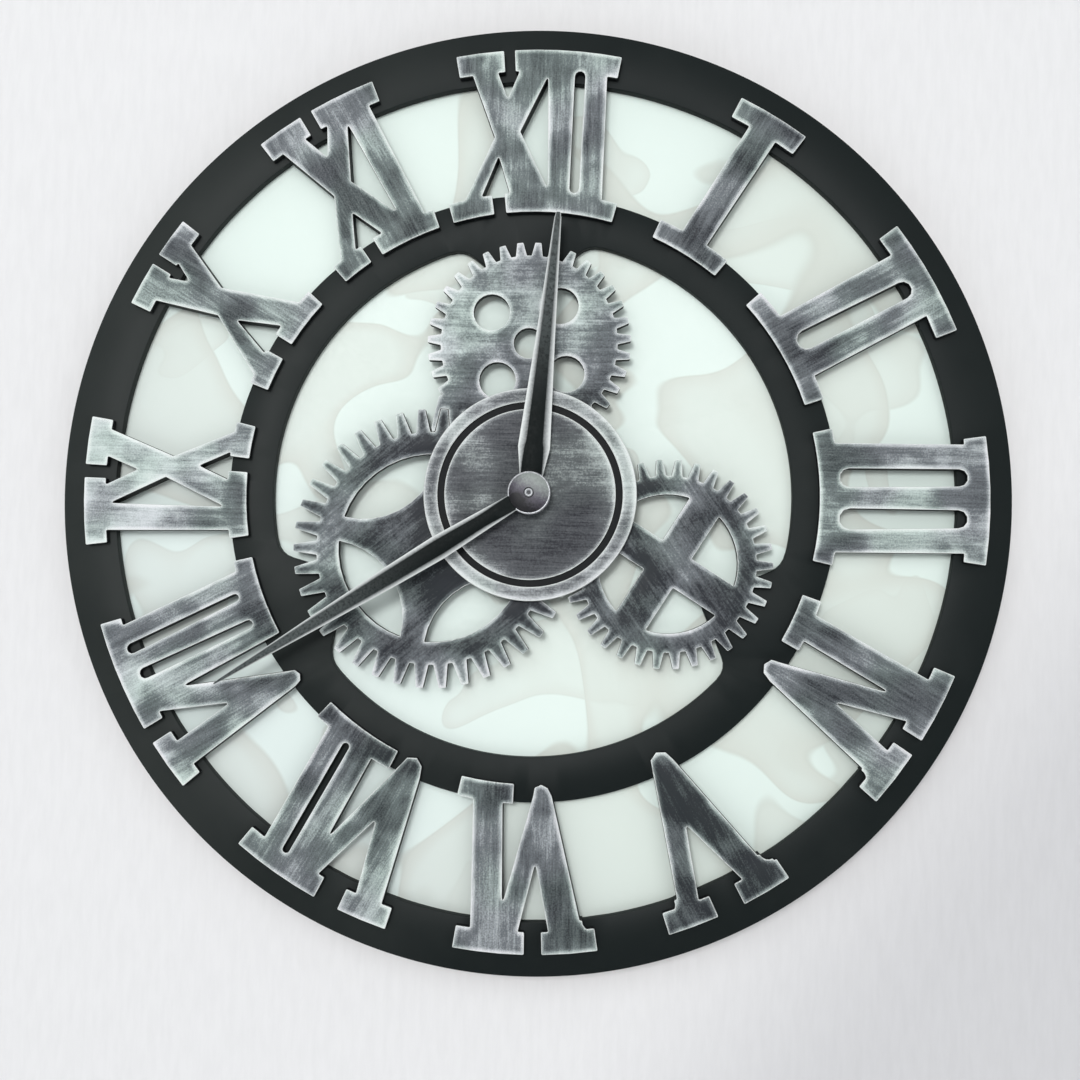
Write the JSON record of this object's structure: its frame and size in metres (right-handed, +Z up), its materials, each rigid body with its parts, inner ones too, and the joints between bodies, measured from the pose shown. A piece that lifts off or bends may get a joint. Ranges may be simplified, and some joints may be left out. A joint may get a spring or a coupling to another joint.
{
  "type": "gear wall clock",
  "caption": "Round wall clock: black cut-out ring plate with raised silver roman numerals, decorative gears, a grooved centre disc, two hands and a battery movement.",
  "frame": {"origin": "on the wall plane, at the rear face of the movement, behind the axis of the hands", "axes": "+Z up to twelve o'clock, +X to three o'clock, +Y into the wall; the dial faces -Y"},
  "size_m": [0.4996, 0.0432, 0.5],
  "materials": {
    "black_plate": "fibreboard with satin black lacquer",
    "pale_panel": "thin board with pale mint lacquer and soft mottling",
    "numeral_silver": "fibreboard with brushed antique silver paint",
    "gear_silver": "fibreboard with brushed antique silver paint",
    "disc_silver": "fibreboard with horizontally brushed antique silver paint",
    "hand_black": "black lacquer with bright bevelled edges",
    "case_plastic": "fine moulded grain",
    "nylon": "natural moulded",
    "brass": "turned",
    "steel": "bright",
    "rubber": "matte",
    "magnet": "bonded magnet, dark grey",
    "copper": "enamelled wire winding",
    "board": "green solder mask",
    "battery_jacket": null
  },
  "bodies": {
    "clock": {"dial_plate": "black_plate", "back_panel": "pale_panel", "numeral_01": "numeral_silver", "numeral_02": "numeral_silver", "numeral_03": "numeral_silver", "numeral_04": "numeral_silver", "numeral_05": "numeral_silver", "numeral_06": "numeral_silver", "numeral_07": "numeral_silver", "numeral_08": "numeral_silver", "numeral_09": "numeral_silver", "numeral_10": "numeral_silver", "numeral_11": "numeral_silver", "numeral_12": "numeral_silver", "gear_carrier": "black_plate", "left_gear": "gear_silver", "top_gear": "gear_silver", "right_gear": "gear_silver", "centre_disc": "disc_silver", "rubber_gasket": "rubber", "brass_washer": "brass", "hex_nut": "brass", "movement_case": "case_plastic", "movement_cover": "case_plastic", "drive_coil": "copper", "stator": "steel", "circuit_board": "board", "plate_contact": "steel", "spring_contact": "steel", "wall_bumper_1": "rubber", "wall_bumper_2": "rubber"},
    "minute_work": {"minute_hand": "hand_black", "cap_nut": "steel", "minute_arbor": "steel"},
    "hour_work": {"hour_hand": "hand_black", "hour_wheel": "nylon"},
    "minute_wheel_body": {"minute_wheel": "nylon"},
    "knob_body": {"setting_knob": "case_plastic"},
    "centre_wheel_body": {"centre_wheel": "brass"},
    "third_wheel_body": {"third_wheel": "nylon"},
    "seconds_wheel_body": {"seconds_wheel": "nylon"},
    "intermediate_wheel_body": {"intermediate_wheel": "nylon"},
    "rotor_body": {"rotor": "magnet"},
    "battery_body": {"battery": "battery_jacket"}
  },
  "joints": [
    {"name": "minute_hand_spin", "type": "hinge", "parent": "clock", "child": "minute_work", "pos_m": [0, 0, 0], "axis": [0, 1, 0], "continuous": true},
    {"name": "hour_hand_spin", "type": "hinge", "parent": "clock", "child": "hour_work", "pos_m": [0, 0, 0], "axis": [0, 1, 0], "continuous": true},
    {"name": "minute_wheel_spin", "type": "hinge", "parent": "clock", "child": "minute_wheel_body", "pos_m": [-0.009, 0, 0], "axis": [0, 1, 0], "continuous": true},
    {"name": "knob_spin", "type": "hinge", "parent": "clock", "child": "knob_body", "pos_m": [-0.01755, 0, 0], "axis": [0, 1, 0], "continuous": true},
    {"name": "seconds_wheel_spin", "type": "hinge", "parent": "clock", "child": "seconds_wheel_body", "pos_m": [0.01482, 0, 0.00889], "axis": [0, 1, 0], "continuous": true},
    {"name": "third_wheel_spin", "type": "hinge", "parent": "clock", "child": "third_wheel_body", "pos_m": [0.00513, 0, 0.00889], "axis": [0, 1, 0], "continuous": true},
    {"name": "centre_wheel_spin", "type": "hinge", "parent": "clock", "child": "centre_wheel_body", "pos_m": [0, 0, 0], "axis": [0, 1, 0], "continuous": true},
    {"name": "intermediate_wheel_spin", "type": "hinge", "parent": "clock", "child": "intermediate_wheel_body", "pos_m": [0.0186, 0, 0.01543], "axis": [0, 1, 0], "continuous": true},
    {"name": "rotor_spin", "type": "hinge", "parent": "clock", "child": "rotor_body", "pos_m": [0.01503, 0, 0.02162], "axis": [0, 1, 0], "continuous": true},
    {"name": "battery_slide", "type": "slide", "parent": "clock", "child": "battery_body", "axis": [0, 1, 0], "range_m": [0, 0.02]}
  ],
  "couplings": [
    {"joint": "hour_hand_spin", "follows": "minute_hand_spin", "ratio": 0.083333},
    {"joint": "minute_wheel_spin", "follows": "minute_hand_spin", "ratio": -0.33333},
    {"joint": "knob_spin", "follows": "minute_hand_spin", "ratio": 1.25},
    {"joint": "third_wheel_spin", "follows": "seconds_wheel_spin", "ratio": -0.13333},
    {"joint": "centre_wheel_spin", "follows": "seconds_wheel_spin", "ratio": 0.016667},
    {"joint": "intermediate_wheel_spin", "follows": "seconds_wheel_spin", "ratio": -5},
    {"joint": "rotor_spin", "follows": "seconds_wheel_spin", "ratio": 30}
  ]
}
